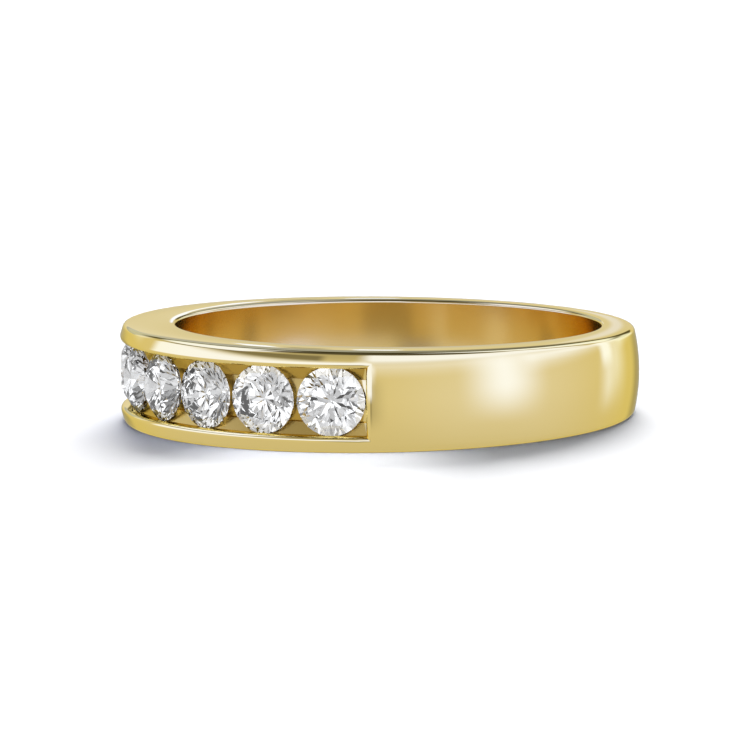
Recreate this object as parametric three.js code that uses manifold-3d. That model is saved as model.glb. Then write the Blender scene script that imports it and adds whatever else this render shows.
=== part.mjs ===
// A yellow gold finger ring with seven round brilliants set edge to edge in a channel.
// Millimetres, +Z up. The ring lies on one side face, the set half faces -Y, and the
// origin is the middle of its footprint on the surface it lies on.

import * as THREE from "three";
import { mergeVertices } from "three/addons/utils/BufferGeometryUtils.js";
import Module from "manifold-3d";

const wasm = await Module();
wasm.setup();

// Stones
const stoneCount = 7;
const stoneDiameter = 2.72;
const stoneGap = 0.12; // between the girdles of two neighbours
const girdleThickness = 0.08;
const tableShare = 0.57; // of the stone's diameter
const crownAngle = THREE.MathUtils.degToRad(34.5);
const pavilionAngle = THREE.MathUtils.degToRad(40.9);
const starShare = 0.5; // of the way from the table's edge to the girdle
const lowerHalfShare = 0.77; // of the way from the girdle to the culet
const stoneTurnStep = 0.7; // radians, so that no two stones lie alike in their seats

// Band
const boreDiameter = 17.35;
const backWall = 1.07; // at the side faces, opposite the stones
const backWidth = 3.46; // along the finger, opposite the stones
const railWidth = 0.7; // gold on each side of the channel, at the middle stone
const crownRise = 0.265; // how far the outer surface bulges between its two edges
const outerEdgeRadius = 0.15;
const boreEdgeRadius = 0.2;

// Channel
const girdleTuck = 0.03; // how far each wall reaches over the stone's edge
const lipRadius = 0.2;
const tableRecess = 0.02; // the tables lie this far under the rails
const culetCover = 0.57; // from the culet down to the bore
const floorDepth = 0.3; // from the girdle plane down to the channel's floor
const ledgeWidth = 0.48;
const ledgeDrop = 0.06; // the ledge's outer edge lies this far under the girdle plane
const ledgeFall = 0.16; // how much the ledge slopes down towards the slot
const endGap = 0.06; // between the last stone and the channel's end wall
const seatClearance = 0.045;

// Facet counts
const headSteps = 42;
const shankSteps = 70;
const domeSteps = 8;
const edgeSteps = 3;
const acrossSteps = 4;
const seatSides = 32;
const stoneFolds = 8;
const mergeDistance = 1e-5;

// Sizes that follow
const stoneRadius = stoneDiameter / 2;
const tableRadius = stoneRadius * tableShare;
const crownHeight = (stoneRadius - tableRadius) * Math.tan(crownAngle);
const pavilionDepth = stoneRadius * Math.tan(pavilionAngle);
const boreRadius = boreDiameter / 2;
const girdleRadius = boreRadius + culetCover + pavilionDepth + girdleThickness / 2;
const channelHalfWidth = stoneRadius - girdleTuck;
const headWidth = 2 * (channelHalfWidth + railWidth);
const stonePitch = 2 * Math.asin((stoneDiameter + stoneGap) / 2 / girdleRadius);
const lastStoneAngle = ((stoneCount - 1) / 2) * stonePitch;
const channelHalfAngle = lastStoneAngle + Math.asin((stoneRadius + endGap) / girdleRadius);
const railTop = girdleRadius + girdleThickness / 2 + crownHeight + tableRecess;
const meanHalfWidth = (headWidth + backWidth) / 4;
const domeRadius = (meanHalfWidth ** 2 + crownRise ** 2) / (2 * crownRise);
const headEdgeRadius = railTop - domeHeight(channelHalfWidth + lipRadius);
const headWall = headEdgeRadius - boreRadius;
const headReach = headEdgeRadius; // the middle stone's side of the ring, from the bore's axis
const backReach = boreRadius + backWall;
const taper = (headWidth - backWidth) / (headReach + backReach); // width lost for each mm of depth
const midDepth = (headReach - backReach) / 2; // where the band has its mean width

// How far the outer surface stands out from its two edges, at height z above the middle.
function domeHeight(z) {
  return Math.sqrt(domeRadius ** 2 - z ** 2) - (domeRadius - crownRise);
}

// The wall's thickness at the side faces: even along the channel, thinner towards the back.
function wallAt(angle) {
  const fromMiddle = Math.PI - Math.abs(Math.PI - Math.abs(angle));
  const past = THREE.MathUtils.smoothstep(fromMiddle, channelHalfAngle, Math.PI);
  return THREE.MathUtils.lerp(headWall, backWall, past);
}

// The outer surface's distance from the bore's axis.
function surfaceAt(angle, z) {
  return boreRadius + wallAt(angle) + domeHeight(z);
}

// A point at an angle from the middle stone, a distance from the bore's axis and a height.
function ringPoint(angle, distance, z) {
  return new THREE.Vector3(distance * Math.sin(angle), -distance * Math.cos(angle), z);
}

// One triangle list from a function that fills it, with a helper for four-sided patches.
function meshFrom(fill) {
  const points = [];
  const triangle = (a, b, c) => points.push(a, b, c);
  const patch = (a, b, c, d) => {
    triangle(a, b, c);
    triangle(a, c, d);
  };
  fill(triangle, patch);
  return new THREE.BufferGeometry().setFromPoints(points);
}

// A closed geometry as a solid that can be joined and cut.
function solidFrom(geometry) {
  const bare = geometry.index ? geometry.toNonIndexed() : geometry.clone();
  bare.deleteAttribute("normal");
  bare.deleteAttribute("uv");
  const merged = mergeVertices(bare, mergeDistance);
  return new wasm.Manifold(
    new wasm.Mesh({
      numProp: 3,
      vertProperties: merged.attributes.position.array,
      triVerts: new Uint32Array(merged.index.array),
    }),
  );
}

function geometryFrom(solid) {
  const mesh = solid.getMesh();
  const geometry = new THREE.BufferGeometry();
  geometry.setAttribute("position", new THREE.BufferAttribute(mesh.vertProperties, 3));
  geometry.setIndex(new THREE.BufferAttribute(mesh.triVerts, 1));
  return geometry.toNonIndexed();
}

// Points of a quarter circle about a centre, from one angle over ninety degrees.
function quarterRound(x, z, radius, from) {
  return Array.from({ length: edgeSteps + 1 }, (_, i) => {
    const turn = from + ((Math.PI / 2) * i) / edgeSteps;
    return [x + radius * Math.cos(turn), z + radius * Math.sin(turn)];
  });
}

// The band's section at an angle, as [distance, height], anticlockwise from the lower bore edge.
function bandSection(angle) {
  const half = meanHalfWidth;
  const edge = boreRadius + wallAt(angle);
  const bore = boreRadius + boreEdgeRadius;
  const section = quarterRound(bore, boreEdgeRadius - half, boreEdgeRadius, Math.PI);
  const corner = edge + domeHeight(half - outerEdgeRadius) - outerEdgeRadius;
  section.push(...quarterRound(corner, outerEdgeRadius - half, outerEdgeRadius, -Math.PI / 2));
  for (let i = 1; i < domeSteps; i++) {
    const z = (half - outerEdgeRadius) * ((2 * i) / domeSteps - 1);
    section.push([edge + domeHeight(z), z]);
  }
  section.push(...quarterRound(corner, half - outerEdgeRadius, outerEdgeRadius, 0));
  section.push(...quarterRound(bore, half - boreEdgeRadius, boreEdgeRadius, Math.PI / 2));
  return section;
}

// Angles of the sections, finer along the channel than round the plain shank.
function sectionAngles() {
  const head = Array.from(
    { length: headSteps },
    (_, i) => channelHalfAngle * ((2 * i) / headSteps - 1),
  );
  const shank = Array.from(
    { length: shankSteps },
    (_, i) => channelHalfAngle + (2 * (Math.PI - channelHalfAngle) * i) / shankSteps,
  );
  return [...head, ...shank];
}

// The ring before it is cut, widest at the middle stone, with both side faces flat.
function bandBlank() {
  const loops = sectionAngles().map((angle) =>
    bandSection(angle).map(([distance, z]) => {
      const point = ringPoint(angle, distance, z);
      point.z *= 1 + (taper * (-point.y - midDepth)) / (2 * meanHalfWidth);
      return point;
    }),
  );
  return meshFrom((triangle, patch) => {
    loops.forEach((loop, i) => {
      const next = loops[(i + 1) % loops.length];
      loop.forEach((point, j) => {
        const k = (j + 1) % loop.length;
        patch(point, next[j], next[k], loop[k]);
      });
    });
  });
}

// The channel's shape from the outside in: each level gives half its width and half its length
// beyond the last, and the distance from the bore's axis.
function channelLevels() {
  const lip = Array.from({ length: edgeSteps + 1 }, (_, i) => {
    const turn = ((Math.PI / 2) * i) / edgeSteps;
    const depth = lipRadius * (1 - Math.cos(turn));
    const spread = lipRadius * (1 - Math.sin(turn));
    return { half: channelHalfWidth + spread, spread, at: (a, z) => surfaceAt(a, z) - depth };
  });
  const above = { ...lip[0], at: (a, z) => surfaceAt(a, z) + lipRadius };
  const slot = channelHalfWidth - ledgeWidth;
  const flat = (half, distance) => ({ half, spread: 0, at: () => distance });
  return [
    above,
    ...lip,
    flat(channelHalfWidth, girdleRadius - ledgeDrop),
    flat(slot, girdleRadius - ledgeDrop - ledgeFall),
    flat(slot, girdleRadius - floorDepth),
  ];
}

function channelCutter() {
  const grids = channelLevels().map(({ half, spread, at }) => {
    const reach = channelHalfAngle + spread / railTop;
    return Array.from({ length: headSteps + 1 }, (_, i) => {
      const angle = reach * ((2 * i) / headSteps - 1);
      return Array.from({ length: acrossSteps + 1 }, (_, j) => {
        const z = half * ((2 * j) / acrossSteps - 1);
        return ringPoint(angle, at(angle, z), z);
      });
    });
  });
  return meshFrom((triangle, patch) => {
    const top = grids[0];
    const floor = grids[grids.length - 1];
    for (let i = 0; i < headSteps; i++) {
      for (let j = 0; j < acrossSteps; j++) {
        patch(top[i][j], top[i + 1][j], top[i + 1][j + 1], top[i][j + 1]);
        patch(floor[i][j], floor[i][j + 1], floor[i + 1][j + 1], floor[i + 1][j]);
      }
    }
    for (let n = 0; n + 1 < grids.length; n++) {
      const [outer, inner] = [grids[n], grids[n + 1]];
      for (let i = 0; i < headSteps; i++) {
        patch(outer[i][0], inner[i][0], inner[i + 1][0], outer[i + 1][0]);
        const j = acrossSteps;
        patch(outer[i + 1][j], inner[i + 1][j], inner[i][j], outer[i][j]);
      }
      for (let j = 0; j < acrossSteps; j++) {
        patch(outer[0][j + 1], inner[0][j + 1], inner[0][j], outer[0][j]);
        const i = headSteps;
        patch(outer[i][j], inner[i][j], inner[i][j + 1], outer[i][j + 1]);
      }
    }
  });
}

// Stands a shape made along +Z out from the bore's axis, at an angle and a distance.
function standOut(angle, distance) {
  const out = ringPoint(angle, 1, 0);
  const along = new THREE.Vector3(-out.y, out.x, 0);
  return new THREE.Matrix4()
    .makeBasis(along, new THREE.Vector3(0, 0, 1), out)
    .setPosition(out.clone().multiplyScalar(distance));
}

// The room for one stone: its own outline with the clearance all round.
function seatCutter(angle) {
  const rim = stoneRadius + seatClearance;
  const rimTop = girdleThickness / 2 + seatClearance;
  const tip = rimTop + rim * Math.tan(pavilionAngle);
  const shoulder = channelHalfWidth - girdleTuck;
  const profile = [
    [0, -tip],
    [rim, -rimTop],
    [rim, rimTop],
    [shoulder, rimTop + (rim - shoulder) * Math.tan(crownAngle)],
    [0, rimTop + (rim - shoulder) * Math.tan(crownAngle)],
  ];
  const seat = new THREE.LatheGeometry(
    profile.map(([x, y]) => new THREE.Vector2(x, y)),
    seatSides,
  );
  return seat.rotateX(Math.PI / 2).applyMatrix4(standOut(angle, girdleRadius));
}

// A round brilliant, its table towards +Z and its girdle in the middle of z = 0: the table,
// stars, kites, upper halves, girdle, lower halves and pavilion mains, down to a pointed culet.
function brilliant() {
  const half = Math.PI / stoneFolds; // from one kite's axis to the next star's
  const starRadius = THREE.MathUtils.lerp(tableRadius * Math.cos(half), stoneRadius, starShare);
  const lowerRadius = stoneRadius * (1 - lowerHalfShare);
  const topEdge = girdleThickness / 2;
  const kiteHeight = (x) => topEdge + (stoneRadius - x) * Math.tan(crownAngle);
  const mainHeight = (x) => -topEdge - (stoneRadius - x) * Math.tan(pavilionAngle);
  const at = (radius, turn, z) =>
    new THREE.Vector3(radius * Math.cos(turn), radius * Math.sin(turn), z);
  const starHeight = kiteHeight(starRadius * Math.cos(half));
  const lowerHeight = mainHeight(lowerRadius * Math.cos(half));
  // A half facet meets the round girdle in a curve, lowest at the middle of its side.
  const overhang = stoneRadius * (1 - Math.cos(half / 2));
  const chord = stoneRadius * Math.cos(half / 2);
  const upperDip = (overhang * (starHeight - topEdge)) / (chord - starRadius * Math.cos(half / 2));
  const lowerRise =
    (overhang * (-topEdge - lowerHeight)) / (chord - lowerRadius * Math.cos(half / 2));
  const table = at(0, 0, kiteHeight(tableRadius));
  const culet = at(0, 0, mainHeight(0));
  return meshFrom((triangle, patch) => {
    for (let k = 0; k < stoneFolds; k++) {
      const axis = 2 * half * k;
      const corner = at(tableRadius, axis, table.z);
      const nextCorner = at(tableRadius, axis + 2 * half, table.z);
      const star = at(starRadius, axis + half, starHeight);
      const starBefore = at(starRadius, axis - half, starHeight);
      const lower = at(lowerRadius, axis + half, lowerHeight);
      const lowerBefore = at(lowerRadius, axis - half, lowerHeight);
      const kiteTip = at(stoneRadius, axis, topEdge);
      const mainTip = at(stoneRadius, axis, -topEdge);
      triangle(table, corner, nextCorner);
      triangle(corner, star, nextCorner);
      patch(corner, starBefore, kiteTip, star);
      patch(culet, lower, mainTip, lowerBefore);
      for (const side of [0, 1]) {
        const [from, to] = side ? [axis + half, axis + 2 * half] : [axis, axis + half];
        const middle = (from + to) / 2;
        const upper = [
          at(stoneRadius, from, topEdge),
          at(stoneRadius, middle, topEdge - upperDip),
          at(stoneRadius, to, topEdge),
        ];
        const under = [
          at(stoneRadius, from, -topEdge),
          at(stoneRadius, middle, lowerRise - topEdge),
          at(stoneRadius, to, -topEdge),
        ];
        for (const i of [0, 1]) {
          triangle(star, upper[i], upper[i + 1]);
          triangle(lower, under[i + 1], under[i]);
          patch(under[i], under[i + 1], upper[i + 1], upper[i]);
        }
      }
    }
  });
}

const stoneAngles = Array.from(
  { length: stoneCount },
  (_, i) => (i - (stoneCount - 1) / 2) * stonePitch,
);

const gold = new THREE.MeshStandardMaterial({ color: 0xd8b45c, roughness: 0.12, metalness: 1 });
const diamond = new THREE.MeshStandardMaterial({ color: 0xf2f4f8, roughness: 0.02, metalness: 0 });

function makeBand() {
  let band = solidFrom(bandBlank()).subtract(solidFrom(channelCutter()));
  for (const angle of stoneAngles) band = band.subtract(solidFrom(seatCutter(angle)));
  const mesh = new THREE.Mesh(geometryFrom(band), gold);
  mesh.name = "band";
  return mesh;
}

function makeStone(angle, index) {
  const mesh = new THREE.Mesh(brilliant().rotateZ(stoneTurnStep * index ** 2), diamond);
  mesh.name = `stone_${index + 1}`;
  mesh.applyMatrix4(standOut(angle, girdleRadius));
  return mesh;
}

// The band is wedge shaped, so it is tipped by half its taper to lie flat on one side face.
const lying = new THREE.Group();
lying.rotation.x = -Math.atan(taper / 2);
lying.add(makeBand(), ...stoneAngles.map(makeStone));

const ring = new THREE.Group();
ring.add(lying);
const extent = new THREE.Box3().setFromObject(ring, true);
const middle = extent.getCenter(new THREE.Vector3());
lying.position.set(-middle.x, -middle.y, -extent.min.z);

export default ring;
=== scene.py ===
"""A channel set band: a polished gold ring whose brilliants sit between two rails."""

import math
from typing import NamedTuple

import bmesh
import bpy
from mathutils import Matrix, Vector


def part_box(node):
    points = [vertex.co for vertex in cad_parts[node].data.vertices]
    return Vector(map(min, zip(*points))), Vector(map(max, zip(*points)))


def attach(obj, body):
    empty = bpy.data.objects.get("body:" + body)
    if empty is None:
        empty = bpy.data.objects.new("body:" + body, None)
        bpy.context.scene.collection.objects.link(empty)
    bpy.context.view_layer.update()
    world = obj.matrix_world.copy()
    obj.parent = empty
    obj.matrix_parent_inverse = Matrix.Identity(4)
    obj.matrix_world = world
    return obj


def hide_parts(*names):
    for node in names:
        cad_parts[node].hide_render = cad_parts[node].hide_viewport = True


bl_info = {
    "name": "Channel Set Band",
    "version": (1, 0, 0),
    "blender": (4, 5, 0),
    "location": "3D View > Sidebar > Ring",
    "description": "Builds a polished gold band with brilliants in a channel, and its studio",
    "category": "Add Mesh",
}

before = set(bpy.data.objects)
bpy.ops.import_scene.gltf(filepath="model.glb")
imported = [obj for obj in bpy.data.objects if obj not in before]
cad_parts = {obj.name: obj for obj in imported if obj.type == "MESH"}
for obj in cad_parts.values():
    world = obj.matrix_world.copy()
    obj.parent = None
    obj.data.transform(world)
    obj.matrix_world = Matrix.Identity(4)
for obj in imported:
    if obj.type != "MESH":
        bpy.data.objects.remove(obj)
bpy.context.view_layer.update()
STONES = sorted(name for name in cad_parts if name.startswith("stone_"))

MM = 0.001
TURN = 2 * math.pi
BORE_AXIS = (0, 0, 1)
SHARP_TURN = math.radians(40)  # edges that turn by more than this get their rounding
SMOOTH_TURN = math.radians(32)  # edges that turn by less than this are shaded smooth
FLOOR_GAP = 0.004 * MM  # keeps the floor out of the plane of the band's lower face


def length(name, description, default):
    """A length property, given in millimetres and held in metres."""
    return bpy.props.FloatProperty(
        name=name,
        description=description,
        default=default * MM,
        min=0,
        unit="LENGTH",
        precision=5,
    )


def angle(name, description, default):
    """An angle property, given in degrees."""
    return bpy.props.FloatProperty(
        name=name,
        description=description,
        default=math.radians(default),
        subtype="ANGLE",
    )


def count(name, description, default):
    """A whole number of copies or steps."""
    return bpy.props.IntProperty(name=name, description=description, default=default, min=1)


def share(name, description, default, top=1.0):
    """A plain number with no unit."""
    return bpy.props.FloatProperty(
        name=name, description=description, default=default, min=0, max=top, precision=3
    )


def colour(name, description, default):
    """A colour, given as linear red, green and blue."""
    return bpy.props.FloatVectorProperty(
        name=name,
        description=description,
        default=default,
        size=3,
        min=0,
        max=1,
        subtype="COLOR",
    )


class BandSizes(bpy.types.PropertyGroup):
    """Sizes of the gold and of the stones that it holds."""

    stone_diameter: length("Stone diameter", "Across one brilliant", 2.72)
    stone_gap: length("Stone gap", "Between the girdles of two neighbours", 0.12)
    girdle_thickness: length("Girdle", "Height of a brilliant's rim", 0.08)
    table_share: share("Table", "Table width as a share of the stone's diameter", 0.57)
    crown_angle: angle("Crown angle", "Slope of the upper facets", 34.5)
    pavilion_angle: angle("Pavilion angle", "Slope of the lower facets", 40.9)

    bore_diameter: length("Bore", "Across the finger hole", 17.35)
    back_wall: length("Back wall", "Thickness at the side faces, opposite the stones", 1.07)
    back_width: length("Back width", "Along the finger, opposite the stones", 3.46)
    rail_width: length("Rail", "Gold beside the channel at the middle stone", 0.7)
    crown_rise: length("Dome", "Bulge of the outer surface between its edges", 0.265)
    outer_edge: length("Outer edge", "Rounding where the dome meets a side face", 0.15)
    bore_edge: length("Bore edge", "Rounding where the bore meets a side face", 0.12)

    girdle_tuck: length("Tuck", "Reach of each rail over a stone's rim", 0.03)
    lip: length("Lip", "Rounding of the channel's mouth", 0.2)
    table_recess: length("Recess", "Depth of the tables under the rails", 0.02)
    culet_cover: length("Culet cover", "From a stone's point down to the bore", 0.57)
    floor_depth: length("Floor", "From the girdles down to the channel's floor", 0.3)
    ledge_width: length("Ledge", "Width of the step that carries the stones", 0.48)
    ledge_drop: length("Ledge drop", "Ledge's outer edge under the girdles", 0.06)
    ledge_fall: length("Ledge fall", "Slope of the ledge down to the slot", 0.16)
    end_gap: length("End gap", "From the last stone to the channel's end", 0.06)
    seat_clearance: length("Seat clearance", "Room around a stone in its seat", 0.012)

    dome_steps: count("Dome steps", "Facets across half the channel", 4)
    head_steps: count("Head steps", "Facets along half the channel", 36)
    shank_steps: count("Shank steps", "Facets round the plain shank", 168)
    edge_steps: count("Edge steps", "Facets round a soft edge", 6)
    seat_sides: count("Seat sides", "Facets round a seat", 64)


class Finishes(bpy.types.PropertyGroup):
    """Colours and polish of the gold and the stones, with painted shade in the bore and the channel.
    """

    gold: colour("Gold", "Colour of the polished gold", (0.97, 0.75, 0.27))
    # Painted shade: the gold in the finger hole is darkened where the hollow lies in shade
    bore_gold_painted_shade: colour("Gold in the bore", "Colour of the gold in the finger hole", (0.86, 0.65, 0.26))
    # Painted shade: the gold between the rails is darkened where the channel lies in shade
    channel_gold_painted_shade: colour("Gold in the channel", "Colour between the rails", (0.62, 0.39, 0.07))
    gold_edge: colour("Gold, grazing", "Colour of the gold seen along its surface", (1.0, 0.9, 0.45))
    gold_roughness: share("Gold roughness", "Softness of what the gold mirrors", 0.02)
    bore_roughness: share("Bore roughness", "The same in the finger hole", 0.13)
    channel_roughness: share("Channel roughness", "The same between the rails", 0.28)
    # How far out past the girdles the channel's painted shade and rougher finish reach
    channel_reach: length("Channel finish", "How far it goes out past the girdles", 0.1)
    # Over this the masks fade in that carry the painted shade and the rougher finish
    shade_and_finish_blur: length("Finish blur", "Over which one finish of the gold turns into the next", 0.03)
    diamond: colour("Brilliant", "Tint of the stones", (0.985, 0.99, 1.0))
    diamond_index: share("Refraction", "Refractive index of the stones", 2.417, 3.0)
    floor: colour("Floor", "Colour of the floor", (0.93, 0.935, 0.95))


class Studio(bpy.types.PropertyGroup):
    """Where the camera stands, and what lights the ring."""

    camera_turn: angle("Camera turn", "From the middle stone round to the camera", 59.35)
    camera_rise: angle("Camera rise", "Above the floor", 7.675)
    camera_roll: angle("Camera roll", "Leftward lean of the picture", 1.253)
    camera_distance: length("Camera distance", "From the middle of the finger hole", 200.1)
    camera_lens: share("Lens", "Focal length in millimetres on a 36 mm sensor", 235.2, 500)
    aim_left: length("Aim left", "From the finger hole's middle to the picture's", 0.571)
    aim_down: length("Aim down", "From the finger hole's middle to the picture's", 0.29)
    bore_back: length("Finger hole", "From the footprint's middle back to the hole's", 0.48)
    floor_size: length("Floor size", "Across the floor", 3000)
    fill_turn: angle("Fill turn", "From the middle stone round to the small lamp in front", 45.5)
    fill_rise: angle("Fill rise", "Of the small lamp over the floor", 45)
    fill_reach: length("Fill reach", "From the finger hole out to where the small lamp points", 13.5)
    fill_distance: length("Fill distance", "From there to the small lamp", 200)
    fill_spread: angle("Fill spread", "Across the small lamp's cone", 3.4)
    fill_radius: length("Fill radius", "Of the small lamp itself", 2.25)
    fill_blend: share("Fill blend", "Share of the cone over which its light fades out", 0.6)
    fill_power: share("Fill power", "Watts of the small lamp", 1.6, 100)
    backdrop: share("Backdrop", "Brightness of the white that the camera sees", 1.0, 10)


class Lamp(NamedTuple):
    """A distant soft lamp over the floor, its place and spread in degrees."""

    turn: float
    rise: float
    spread: float
    strength: float


LAMPS = {
    "overhead": Lamp(turn=0, rise=90, spread=160, strength=1.4),
    "back": Lamp(turn=232, rise=29, spread=38, strength=5.4),
}


class Softbox(NamedTuple):
    """A soft-edged window or dark card in the studio's walls, its place and size in degrees."""

    turn: float
    rise: float
    width: float
    height: float
    edge: float
    share: float
    dark: float = 0


SOFTBOXES = {
    "far_card": Softbox(turn=235, rise=39, width=80, height=61, edge=1, share=0.85, dark=1),
    "far_low_card": Softbox(turn=240, rise=-9, width=54, height=16, edge=6, share=0.4, dark=1),
    "rail_card": Softbox(turn=-15, rise=28, width=90, height=9, edge=3, share=0.6, dark=1),
    "front_card": Softbox(turn=43, rise=-6, width=20, height=28, edge=8, share=0.5, dark=1),
    "lip_window": Softbox(turn=-5, rise=9, width=112, height=26, edge=4, share=0.9),
    "left_low_window": Softbox(turn=-98, rise=16, width=46, height=16, edge=5, share=0.5),
    "left_window": Softbox(turn=-57, rise=47, width=88, height=28, edge=4, share=0.95),
    "high_window": Softbox(turn=112, rise=40, width=126, height=34, edge=5, share=0.9),
    "front_glow": Softbox(turn=106, rise=18, width=115, height=8, edge=6, share=0.35),
    "right_glow": Softbox(turn=112, rise=-2, width=78, height=50, edge=26, share=0.14),
    "right_window": Softbox(turn=115.5, rise=7, width=25, height=35, edge=13, share=0.93),
    "side_band": Softbox(turn=164, rise=15, width=76, height=12, edge=6, share=0.75),
    "side_strip": Softbox(turn=180.5, rise=10, width=9, height=22, edge=3, share=0.97),
    "side_strip_low": Softbox(turn=180.5, rise=-6, width=9, height=14, edge=6, share=0.5),
    "side_fade": Softbox(turn=189, rise=4, width=12, height=26, edge=9, share=0.55),
    "far_side_band": Softbox(turn=206, rise=10, width=26, height=16, edge=4, share=0.8),
    "far_window": Softbox(turn=210, rise=43, width=36, height=42, edge=4, share=0.95),
    "top_patch": Softbox(turn=240.62, rise=6.7, width=0.42, height=2.6, edge=0.08, share=1),
    "top_patch_right": Softbox(turn=239.14, rise=6.7, width=0.56, height=2.6, edge=0.09, share=1),
    "top_patch_far": Softbox(turn=236.4, rise=6, width=0.8, height=4, edge=0.3, share=0.3),
    "top_shade": Softbox(turn=240, rise=6.7, width=0.5, height=2.6, edge=0.12, share=0.4, dark=1),
}
WALLS = {  # brightness of the studio's walls, by degrees over the horizon
    -90: 0.64,
    -45: 0.64,
    -30: 0.66,
    -20: 0.69,
    -6: 0.72,
    18: 0.72,
    30: 0.52,
    55: 0.42,
    66: 0.10,
    90: 0.08,
}
COOL_WINDOW = (1.04, 1.3, 3.1)  # what polished gold turns into a white highlight
WHITE_WINDOW = (1.65, 1.67, 1.7)  # the same windows, as the clear stones show them


def sizes():
    return bpy.context.scene.band_sizes


def finishes():
    return bpy.context.scene.ring_finishes


def studio():
    return bpy.context.scene.ring_studio


class Plan:
    """Sizes that follow from the band's own, in metres and radians."""

    def __init__(self):
        s = sizes()
        self.stone_radius = s.stone_diameter / 2
        crown = self.stone_radius * (1 - s.table_share) * math.tan(s.crown_angle)
        pavilion = self.stone_radius * math.tan(s.pavilion_angle)
        self.bore = s.bore_diameter / 2
        self.bore_limit = self.bore * 1.01  # what lies further out is the band's outside
        self.girdle = self.bore + s.culet_cover + pavilion + s.girdle_thickness / 2
        self.channel_half = self.stone_radius - s.girdle_tuck
        head_width = 2 * (self.channel_half + s.rail_width)
        pitch = 2 * math.asin((s.stone_diameter + s.stone_gap) / 2 / self.girdle)
        middle = (len(STONES) - 1) / 2
        self.stone_angles = [(i - middle) * pitch for i in range(len(STONES))]
        reach = math.asin((self.stone_radius + s.end_gap) / self.girdle)
        self.channel_turn = middle * pitch + reach
        rail_top = self.girdle + s.girdle_thickness / 2 + crown + s.table_recess
        self.mean_half = (head_width + s.back_width) / 4
        self.dome = (self.mean_half**2 + s.crown_rise**2) / (2 * s.crown_rise)
        self.head_edge = rail_top - self.dome_height(self.channel_half + s.lip)
        self.head_wall = self.head_edge - self.bore
        self.crest = self.head_edge + s.crown_rise
        back_edge = self.bore + s.back_wall
        self.taper = (head_width - s.back_width) / (self.head_edge + back_edge)
        self.mid_depth = (self.head_edge - back_edge) / 2
        self.tilt = math.atan(self.taper / 2)

    def dome_height(self, z):
        """How far the dome stands out from its edges at a height above the middle."""
        return math.sqrt(self.dome**2 - z**2) - (self.dome - sizes().crown_rise)

    def wall_at(self, turn):
        """The wall at the side faces, at an angle from the middle stone."""
        past = (abs(turn) - self.channel_turn) / (math.pi - self.channel_turn)
        past = min(max(past, 0), 1)
        past = past * past * (3 - 2 * past)
        return self.head_wall + (sizes().back_wall - self.head_wall) * past


def begin_edit():
    """Enters edit mode with everything selected."""
    bpy.ops.object.mode_set(mode="EDIT")
    bpy.ops.mesh.select_mode(type="VERT")
    bpy.ops.mesh.select_all(action="SELECT")


def end_edit():
    bpy.ops.object.mode_set(mode="OBJECT")


def select(mode, test):
    """In edit mode, selects only the vertices, edges or faces that pass the test."""
    mesh = bpy.context.edit_object.data
    bpy.ops.mesh.select_mode(type=mode)
    bpy.ops.mesh.select_all(action="DESELECT")
    bm = bmesh.from_edit_mesh(mesh)
    items = {"VERT": bm.verts, "EDGE": bm.edges, "FACE": bm.faces}[mode]
    for item in items:
        if test(item):
            item.select_set(True)
    bm.select_flush_mode()
    bmesh.update_edit_mesh(mesh)


def turn_of(co):
    """A point's angle about the bore, from the middle stone."""
    return math.atan2(co.x, -co.y)


def distance_of(co):
    """A point's distance from the bore's axis."""
    return math.hypot(co.x, co.y)


def middle_of(item):
    """The middle of an edge or face."""
    return sum((v.co for v in item.verts), Vector()) / len(item.verts)


def deselect_all():
    bpy.ops.object.select_all(action="DESELECT")


def apply_place(piece):
    """Puts the piece's place into its mesh, so that its object sits at the origin."""
    deselect_all()
    piece.select_set(True)
    bpy.context.view_layer.objects.active = piece
    bpy.ops.object.transform_apply(location=True, rotation=True, scale=True)


def spin(steps, turn, center=(0, 0, 0), axis=BORE_AXIS):
    bpy.ops.mesh.spin(steps=steps, angle=turn, center=center, axis=axis)


def scale_about_bore(factor, height=1.0):
    """Moves what is selected towards or away from the bore's axis."""
    bpy.ops.transform.resize(value=(factor, factor, height), center_override=(0, 0, 0))


def draw_profile(plan):
    """The blank's section at the middle stone: the dome, wider than the band, and the bore."""
    guard = plan.channel_half + 1.25 * sizes().lip
    over = 1.25 * plan.mean_half
    wall, lip, end = (math.asin(z / plan.dome) for z in (plan.channel_half, guard, over))
    center = (0, plan.dome - plan.crest, 0)
    foot = center[1] - plan.dome * math.cos(end)
    bpy.ops.mesh.primitive_plane_add(size=MM, location=(0, foot, -over))
    blank = bpy.context.object
    apply_place(blank)
    begin_edit()
    bpy.ops.mesh.merge(type="CENTER")
    arcs = [
        (end - lip, 1),
        (lip - wall, 1),
        (2 * wall, 2 * sizes().dome_steps),
        (lip - wall, 1),
        (end - lip, 1),
    ]
    for turn, steps in arcs:
        spin(steps, turn, center, (1, 0, 0))
    inward = -plan.bore - foot
    for move in ((0, inward, 0), (0, 0, -2 * over)):
        bpy.ops.mesh.extrude_vertices_move(TRANSFORM_OT_translate={"value": move})
    select("VERT", lambda v: len(v.link_edges) == 1)
    bpy.ops.mesh.edge_face_add()
    bpy.ops.mesh.select_all(action="SELECT")
    return blank


def sweep_blank(plan):
    """Carries the section round the bore, with finer steps along the channel."""
    guard = 1.3 * sizes().lip / plan.crest
    arcs = [
        (plan.channel_turn, sizes().head_steps),
        (guard, 1),
        (TURN - 2 * plan.channel_turn - 2 * guard, sizes().shank_steps),
        (guard, 1),
        (plan.channel_turn, sizes().head_steps),
    ]
    for turn, steps in arcs:
        spin(steps, turn)
    bpy.ops.mesh.select_all(action="SELECT")
    bpy.ops.mesh.remove_doubles(threshold=1e-6)
    bpy.ops.mesh.normals_make_consistent(inside=False)


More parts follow.
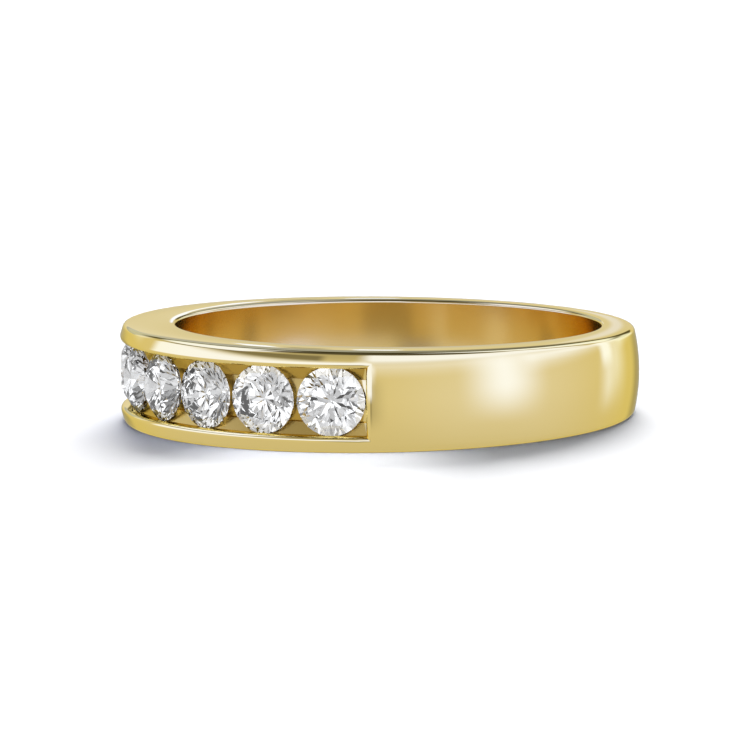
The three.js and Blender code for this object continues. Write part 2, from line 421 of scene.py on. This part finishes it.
def thin_shank(plan):
    """Draws the outer surface in towards the back, section by section."""
    blank = bpy.context.edit_object
    bm = bmesh.from_edit_mesh(blank.data)
    sections = {}
    for vertex in bm.verts:
        turn = abs(turn_of(vertex.co))
        if distance_of(vertex.co) > plan.bore_limit and turn > plan.channel_turn:
            sections.setdefault(round(turn, 4), []).append(vertex.index)
    rise = sizes().crown_rise
    for turn, members in sections.items():
        factor = (plan.bore + plan.wall_at(turn) + rise) / plan.crest
        bpy.ops.mesh.select_all(action="DESELECT")
        bm = bmesh.from_edit_mesh(blank.data)
        bm.verts.ensure_lookup_table()
        for index in members:
            bm.verts[index].select_set(True)
        scale_about_bore(factor)


def face_sides(plan):
    """Cuts both side faces flat, closes them and rounds their edges."""
    height = plan.mean_half - plan.taper * plan.mid_depth / 2
    for side in (1, -1):
        bpy.ops.mesh.select_all(action="SELECT")
        bpy.ops.mesh.bisect(
            plane_co=(0, 0, side * height),
            plane_no=(0, plan.taper / 2, side),
            clear_outer=True,
        )
        select("EDGE", lambda e: e.is_boundary)
        bpy.ops.mesh.bridge_edge_loops()
    for is_outer, radius in ((True, sizes().outer_edge), (False, sizes().bore_edge)):
        select(
            "EDGE",
            lambda e: e.calc_face_angle(0) > SHARP_TURN
            and (distance_of(middle_of(e)) > plan.bore_limit) == is_outer,
        )
        bpy.ops.mesh.bevel(offset=radius, segments=sizes().edge_steps, affect="EDGES")


def sink_channel(plan):
    """Sinks the channel between the rails: its wall, the ledges, the slot and its floor."""
    s = sizes()
    in_channel = plan.channel_turn * 0.9999
    select(
        "FACE",
        lambda f: distance_of(middle_of(f)) > plan.head_edge - s.crown_rise
        and abs(turn_of(middle_of(f))) < in_channel
        and abs(middle_of(f).z) < plan.channel_half,
    )
    wall_top = plan.head_edge + plan.dome_height(plan.channel_half)
    slot = plan.channel_half - s.ledge_width
    ledge = plan.girdle - s.ledge_drop
    levels = [
        (ledge, plan.channel_half),
        (ledge - s.ledge_fall, slot),
        (plan.girdle - s.floor_depth, slot),
    ]
    above, half = wall_top, plan.channel_half
    for level, reach in levels:
        bpy.ops.mesh.extrude_region_move()
        scale_about_bore(level / above, reach / half)
        above, half = level, reach
    select(
        "EDGE",
        lambda e: e.calc_face_angle(0) > SHARP_TURN
        and distance_of(middle_of(e)) > plan.head_edge
        and abs(middle_of(e).z) < plan.channel_half * 1.01,
    )
    bpy.ops.mesh.bevel(
        offset=s.lip, segments=s.edge_steps, affect="EDGES", miter_outer="ARC"
    )


def add_seat_cutter(plan):
    """The room for one stone in its seat, at the middle stone: a rim between two cones."""
    s = sizes()
    rim = plan.stone_radius + s.seat_clearance
    rim_height = s.girdle_thickness + 2 * s.seat_clearance
    shoulder = plan.channel_half - s.girdle_tuck
    bpy.ops.mesh.primitive_cylinder_add(
        vertices=s.seat_sides,
        radius=rim,
        depth=rim_height,
        location=(0, -plan.girdle, 0),
        rotation=(math.pi / 2, 0, 0),
    )
    cutter = bpy.context.object
    apply_place(cutter)
    begin_edit()
    crown = (rim - shoulder) * math.tan(s.crown_angle)
    cone = rim * math.tan(s.pavilion_angle)
    for side, depth, factor in ((-1, crown, shoulder / rim), (1, cone, 0)):
        select(
            "FACE",
            lambda f: len(f.verts) > 4 and side * (middle_of(f).y + plan.girdle) > 0,
        )
        bpy.ops.mesh.extrude_region_move(TRANSFORM_OT_translate={"value": (0, side * depth, 0)})
        if factor:
            level = -plan.girdle + side * (rim_height / 2 + depth)
            bpy.ops.transform.resize(value=(factor, 1, factor), center_override=(0, level, 0))
        else:
            bpy.ops.mesh.merge(type="CENTER")
    end_edit()
    return cutter


def cut_seats(band, plan):
    """Cuts every seat at once, with one cutter copied round the bore."""
    first = add_seat_cutter(plan)
    cutters = []
    for turn in plan.stone_angles:
        cutter = first.copy()
        cutter.data = first.data.copy()
        bpy.context.scene.collection.objects.link(cutter)
        cutter.rotation_euler.z = turn
        cutters.append(cutter)
    bpy.data.objects.remove(first)
    deselect_all()
    for cutter in cutters:
        cutter.select_set(True)
    bpy.context.view_layer.objects.active = cutters[0]
    bpy.ops.object.join()
    seats = bpy.context.object
    apply_place(seats)
    deselect_all()
    band.select_set(True)
    bpy.context.view_layer.objects.active = band
    bpy.ops.object.modifier_add(type="BOOLEAN")
    cut = band.modifiers[-1]
    cut.object = seats
    cut.operation = "DIFFERENCE"
    cut.solver = "EXACT"
    bpy.ops.object.modifier_apply(modifier=cut.name)
    bpy.data.objects.remove(seats)


def lay_down(band, plan):
    """Tips the wedge-shaped band onto its side face, over the solid that it replaces."""
    band.rotation_euler.x = -plan.tilt
    apply_place(band)
    low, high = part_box("band")
    corners = [Vector(corner) for corner in band.bound_box]
    centre = sum(corners, Vector()) / len(corners)
    target = (low + high) / 2
    band.location = (
        target.x - centre.x,
        target.y - centre.y,
        low.z - min(corner.z for corner in corners),
    )
    apply_place(band)


def new_material(name):
    """A new material and its shader node."""
    material = bpy.data.materials.new(name)
    material.use_nodes = True
    return material, material.node_tree.nodes["Principled BSDF"]


def calculate(tree, operation, *values):
    """Adds a Math node whose inputs are sockets or numbers, and returns its output."""
    node = tree.nodes.new("ShaderNodeMath")
    node.operation = operation
    for socket, value in zip(node.inputs, values):
        if isinstance(value, bpy.types.NodeSocket):
            tree.links.new(value, socket)
        else:
            socket.default_value = value
    return node.outputs["Value"]


def mix_colours(tree, factor, first, second):
    """Mixes two colours, each a socket or four numbers, and returns the output."""
    node = tree.nodes.new("ShaderNodeMix")
    node.data_type = "RGBA"
    slots = (node.inputs[0], node.inputs[6], node.inputs[7])
    for socket, value in zip(slots, (factor, first, second)):
        if isinstance(value, bpy.types.NodeSocket):
            tree.links.new(value, socket)
        else:
            socket.default_value = value
    return node.outputs[2]


def less_than(tree, value, limit, soft):
    """One where the value is under a limit and nothing over it, with a soft change."""
    fade = tree.nodes.new("ShaderNodeMapRange")
    fade.interpolation_type = "SMOOTHSTEP"
    fade.inputs["From Min"].default_value = limit - soft
    fade.inputs["From Max"].default_value = limit + soft
    fade.inputs["To Min"].default_value = 1
    fade.inputs["To Max"].default_value = 0
    tree.links.new(value, fade.inputs["Value"])
    return fade.outputs["Result"]


def inner_masks(tree, place):
    """One on the wall of the bore, and one inside the channel: there the gold is rougher, and its
    colour is darkened as painted shade.
    """
    f, plan = finishes(), Plan()
    axes = tree.nodes.new("ShaderNodeSeparateXYZ")
    tree.links.new(place, axes.inputs["Vector"])
    along = calculate(tree, "SUBTRACT", axes.outputs["Y"], studio().bore_back)
    squares = calculate(tree, "POWER", along, 2)
    squares = calculate(tree, "ADD", calculate(tree, "POWER", axes.outputs["X"], 2), squares)
    reach = calculate(tree, "SQRT", squares)
    bore = less_than(tree, reach, plan.bore + sizes().bore_edge / 2, f.shade_and_finish_blur)
    middle = calculate(tree, "MULTIPLY_ADD", along, -math.tan(plan.tilt), plan.mean_half)
    height = calculate(tree, "ABSOLUTE", calculate(tree, "SUBTRACT", axes.outputs["Z"], middle))
    channel = less_than(tree, height, plan.channel_half + f.shade_and_finish_blur, f.shade_and_finish_blur)
    deep = less_than(tree, reach, plan.girdle + f.channel_reach, f.shade_and_finish_blur)
    deep = calculate(tree, "SUBTRACT", deep, bore)
    channel = calculate(tree, "MULTIPLY", channel, deep)
    head = less_than(tree, along, -math.cos(plan.channel_turn) * plan.girdle, f.shade_and_finish_blur)
    return bore, calculate(tree, "MULTIPLY", channel, head)


def polished_gold():
    """Mirror polished yellow gold, softer in the bore and the channel, where its colour is a little
    darker as painted shade.
    """
    f = finishes()
    material, shader = new_material("polished_gold")
    tree = material.node_tree
    shader.inputs["Metallic"].default_value = 1
    shader.inputs["Specular Tint"].default_value = (*f.gold_edge, 1)
    place = tree.nodes.new("ShaderNodeTexCoord").outputs["Object"]
    haze = tree.nodes.new("ShaderNodeTexNoise")
    haze.inputs["Scale"].default_value = 260
    haze.inputs["Detail"].default_value = 3
    spread = tree.nodes.new("ShaderNodeMapRange")
    spread.inputs["To Min"].default_value = f.gold_roughness * 0.8
    spread.inputs["To Max"].default_value = f.gold_roughness * 1.3
    tree.links.new(place, haze.inputs["Vector"])
    tree.links.new(haze.outputs["Fac"], spread.inputs["Value"])
    tint, softness = (*f.gold, 1), spread.outputs["Result"]
    bore, channel = inner_masks(tree, place)
    inner = ((bore, f.bore_gold_painted_shade, f.bore_roughness), (channel, f.channel_gold_painted_shade, f.channel_roughness))
    # The bore's and the channel's darker colours are painted shade; their roughness is the gold's own
    # finish.
    for mask, gold, roughness in inner:
        tint = mix_colours(tree, mask, tint, (*gold, 1))
        softer = calculate(tree, "MULTIPLY", mask, roughness)
        softness = calculate(tree, "MAXIMUM", softness, softer)
    tree.links.new(tint, shader.inputs["Base Color"])
    tree.links.new(softness, shader.inputs["Roughness"])
    return material


def cut_diamond():
    """Clear, strongly refracting stone."""
    f = finishes()
    material, shader = new_material("cut_diamond")
    shader.inputs["Base Color"].default_value = (*f.diamond, 1)
    shader.inputs["Roughness"].default_value = 0
    shader.inputs["IOR"].default_value = f.diamond_index
    shader.inputs["Transmission Weight"].default_value = 1
    return material


class RING_OT_band(bpy.types.Operator):
    """Build the polished gold band, its channel and its seats"""

    bl_idname = "ring.band"
    bl_label = "Band"

    def execute(self, context):
        plan = Plan()
        deselect_all()
        band = draw_profile(plan)
        band.name = "polished_band"
        sweep_blank(plan)
        thin_shank(plan)
        face_sides(plan)
        sink_channel(plan)
        end_edit()
        apply_place(band)
        cut_seats(band, plan)
        lay_down(band, plan)
        bpy.ops.object.shade_smooth_by_angle(angle=SMOOTH_TURN)
        bpy.ops.object.modifier_add(type="WEIGHTED_NORMAL")
        band.modifiers[-1].keep_sharp = True
        bpy.ops.object.modifier_apply(modifier=band.modifiers[-1].name)
        band.data.materials.clear()
        band.data.materials.append(polished_gold())
        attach(band, "root")
        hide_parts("band")
        # What the gold would throw back turns the stones and the floor yellow.
        band.visible_transmission = False
        band.visible_diffuse = False
        return {"FINISHED"}


class RING_OT_stones(bpy.types.Operator):
    """Give every brilliant its clear, strongly refracting finish"""

    bl_idname = "ring.stones"
    bl_label = "Brilliants"

    def execute(self, context):
        material = cut_diamond()
        for name in STONES:
            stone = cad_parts[name]
            for slot in stone.material_slots:
                slot.material = material
        return {"FINISHED"}


class RING_OT_stage(bpy.types.Operator):
    """Set up the floor, the light and the camera"""

    bl_idname = "ring.stage"
    bl_label = "Stage"

    def execute(self, context):
        add_floor()
        add_studio()
        add_lamps()
        add_fill()
        add_camera()
        return {"FINISHED"}


def matt_material(name, tint):
    """An even matt finish without gloss."""
    material, shader = new_material(name)
    shader.inputs["Base Color"].default_value = (*tint, 1)
    shader.inputs["Roughness"].default_value = 0.9
    shader.inputs["Specular IOR Level"].default_value = 0
    return material


def add_floor():
    """The white floor, which the polished pieces don't mirror."""
    s, f = studio(), finishes()
    bpy.ops.mesh.primitive_plane_add(size=s.floor_size, location=(0, 0, -FLOOR_GAP))
    floor = bpy.context.object
    floor.name = "floor"
    floor.data.materials.append(matt_material("floor", f.floor))
    floor.visible_glossy = False
    floor.visible_transmission = False


def softbox_group():
    """Lays a soft-edged window or dark card over what is already in that direction."""
    group = bpy.data.node_groups.new("softbox", "ShaderNodeTree")
    face = group.interface
    face.new_socket("Direction", in_out="INPUT", socket_type="NodeSocketVector")
    for name in ("Under", "Window"):
        face.new_socket(name, in_out="INPUT", socket_type="NodeSocketColor")
    for name in Softbox._fields:
        face.new_socket(name, in_out="INPUT", socket_type="NodeSocketFloat")
    face.new_socket("Light", in_out="OUTPUT", socket_type="NodeSocketColor")
    given = group.nodes.new("NodeGroupInput").outputs
    facing = group.nodes.new("ShaderNodeVectorRotate")
    facing.rotation_type = "Z_AXIS"
    group.links.new(given["Direction"], facing.inputs["Vector"])
    group.links.new(calculate(group, "MULTIPLY", given["turn"], -1), facing.inputs["Angle"])
    axes = group.nodes.new("ShaderNodeSeparateXYZ")
    group.links.new(facing.outputs["Vector"], axes.inputs["Vector"])
    front = calculate(group, "MULTIPLY", axes.outputs["Y"], -1)
    beside = calculate(group, "ARCTAN2", axes.outputs["X"], front)
    rise = calculate(group, "ARCSINE", axes.outputs["Z"])
    above = calculate(group, "SUBTRACT", rise, given["rise"])
    cover = given["share"]
    for away, size in ((beside, given["width"]), (above, given["height"])):
        half = calculate(group, "DIVIDE", size, 2)
        fade = group.nodes.new("ShaderNodeMapRange")
        fade.interpolation_type = "SMOOTHSTEP"
        fade.inputs["To Min"].default_value = 1
        fade.inputs["To Max"].default_value = 0
        for name, operation in (("From Min", "SUBTRACT"), ("From Max", "ADD")):
            group.links.new(calculate(group, operation, half, given["edge"]), fade.inputs[name])
        group.links.new(calculate(group, "ABSOLUTE", away), fade.inputs["Value"])
        cover = calculate(group, "MULTIPLY", cover, fade.outputs["Result"])
    card = mix_colours(group, given["dark"], given["Window"], (0, 0, 0, 1))
    laid = mix_colours(group, cover, given["Under"], card)
    output = group.nodes.new("NodeGroupOutput")
    group.links.new(laid, output.inputs["Light"])
    return group


def add_walls(tree, direction):
    """The studio's plain walls, whose brightness changes with the height alone."""
    axes = tree.nodes.new("ShaderNodeSeparateXYZ")
    tree.links.new(direction, axes.inputs["Vector"])
    rise = calculate(tree, "ARCSINE", axes.outputs["Z"])
    walls = tree.nodes.new("ShaderNodeValToRGB")
    tree.links.new(calculate(tree, "MULTIPLY_ADD", rise, 1 / math.pi, 0.5), walls.inputs["Fac"])
    stops = walls.color_ramp.elements
    for degrees, brightness in WALLS.items():
        place = degrees / 180 + 0.5
        stop = stops[0] if place == 0 else stops[-1] if place == 1 else stops.new(place)
        stop.color = (brightness, brightness, brightness, 1)
    return walls.outputs["Color"]


def add_studio():
    """A white backdrop for the camera, and walls and windows for the gold and the stones."""
    s = studio()
    scene = bpy.context.scene
    world = bpy.data.worlds.new("studio")
    world.use_nodes = True
    tree = world.node_tree
    direction = tree.nodes.new("ShaderNodeTexCoord").outputs["Generated"]
    ray = tree.nodes.new("ShaderNodeLightPath").outputs
    cool, white = ((*window, 1) for window in (COOL_WINDOW, WHITE_WINDOW))
    window = mix_colours(tree, ray["Is Singular Ray"], cool, white)
    light = add_walls(tree, direction)
    group = softbox_group()
    for name, box in SOFTBOXES.items():
        node = tree.nodes.new("ShaderNodeGroup")
        node.node_tree = group
        node.label = name
        tree.links.new(direction, node.inputs["Direction"])
        tree.links.new(light, node.inputs["Under"])
        tree.links.new(window, node.inputs["Window"])
        for field, value in box._asdict().items():
            is_angle = field not in ("share", "dark")
            node.inputs[field].default_value = math.radians(value) if is_angle else value
        light = node.outputs["Light"]
    backdrop = (s.backdrop, s.backdrop, s.backdrop, 1)
    seen = mix_colours(tree, ray["Is Camera Ray"], light, backdrop)
    tree.links.new(seen, tree.nodes["Background"].inputs["Color"])
    scene.world = world
    world.cycles_visibility.diffuse = False
    scene.view_settings.view_transform = "Standard"


def add_lamps():
    """Lamps that light the floor, and that the polished pieces don't mirror."""
    for name, lamp in LAMPS.items():
        data = bpy.data.lights.new(name, "SUN")
        data.energy = lamp.strength
        data.angle = math.radians(lamp.spread)
        data.cycles.use_multiple_importance_sampling = False
        piece = bpy.data.objects.new(name, data)
        bpy.context.scene.collection.objects.link(piece)
        piece.rotation_euler = (math.radians(90 - lamp.rise), 0, math.radians(lamp.turn))
        piece.visible_glossy = False
        piece.visible_transmission = False


def add_fill():
    """A small lamp that lights the floor in front of the stones."""
    s = studio()
    data = bpy.data.lights.new("fill", "SPOT")
    data.energy = s.fill_power
    data.spot_size = s.fill_spread
    data.spot_blend = s.fill_blend
    data.shadow_soft_size = s.fill_radius
    data.cycles.use_multiple_importance_sampling = False
    out = Vector((math.sin(s.fill_turn), -math.cos(s.fill_turn), 0))
    rise = Vector((0, 0, math.sin(s.fill_rise)))
    away = out * math.cos(s.fill_rise) + rise
    spot = Vector((0, s.bore_back, 0)) + out * s.fill_reach
    lamp = bpy.data.objects.new("fill", data)
    bpy.context.scene.collection.objects.link(lamp)
    lamp.location = spot + away * s.fill_distance
    lamp.rotation_euler = away.to_track_quat("Z", "Y").to_euler()
    lamp.visible_glossy = False
    lamp.visible_transmission = False


def add_camera():
    """The camera at the photograph's angle to the lying ring."""
    s = studio()
    focus = Vector((0, s.bore_back, Plan().mean_half))
    away = Vector((math.sin(s.camera_turn), -math.cos(s.camera_turn), 0))
    away = away * math.cos(s.camera_rise) + Vector((0, 0, math.sin(s.camera_rise)))
    right = Vector((0, 0, 1)).cross(away).normalized()
    up = away.cross(right)
    aim = focus - right * s.aim_left - up * s.aim_down
    data = bpy.data.cameras.new("camera")
    data.lens = s.camera_lens
    data.clip_start = 1 * MM
    data.clip_end = 10
    camera = bpy.data.objects.new("camera", data)
    bpy.context.scene.collection.objects.link(camera)
    view = (focus + away * s.camera_distance - aim).normalized()
    turned = view.to_track_quat("Z", "Y").to_matrix().to_4x4()
    roll = Matrix.Rotation(-s.camera_roll, 4, "Z")
    camera.matrix_world = Matrix.Translation(focus + away * s.camera_distance) @ turned @ roll
    bpy.context.scene.camera = camera


class RING_PT_panel(bpy.types.Panel):
    """Lists the ring's pieces and sizes"""

    bl_idname = "RING_PT_panel"
    bl_label = "Channel Set Band"
    bl_space_type = "VIEW_3D"
    bl_region_type = "UI"
    bl_category = "Ring"

    def draw(self, context):
        for operator in OPERATORS:
            self.layout.operator(operator.bl_idname)
        for group in (sizes(), finishes(), studio()):
            box = self.layout.box()
            for name in group.__annotations__:
                box.prop(group, name)


OPERATORS = (RING_OT_band, RING_OT_stones, RING_OT_stage)
GROUPS = {"band_sizes": BandSizes, "ring_finishes": Finishes, "ring_studio": Studio}


def register():
    for group in GROUPS.values():
        bpy.utils.register_class(group)
    for name, group in GROUPS.items():
        setattr(bpy.types.Scene, name, bpy.props.PointerProperty(type=group))
    for item in (*OPERATORS, RING_PT_panel):
        bpy.utils.register_class(item)


def unregister():
    for item in (RING_PT_panel, *reversed(OPERATORS)):
        bpy.utils.unregister_class(item)
    for name, group in GROUPS.items():
        delattr(bpy.types.Scene, name)
        bpy.utils.unregister_class(group)


def main():
    register()
    bpy.ops.ring.band()
    bpy.ops.ring.stones()
    bpy.ops.ring.stage()
    bpy.context.view_layer.update()


if __name__ == "__main__":
    main()
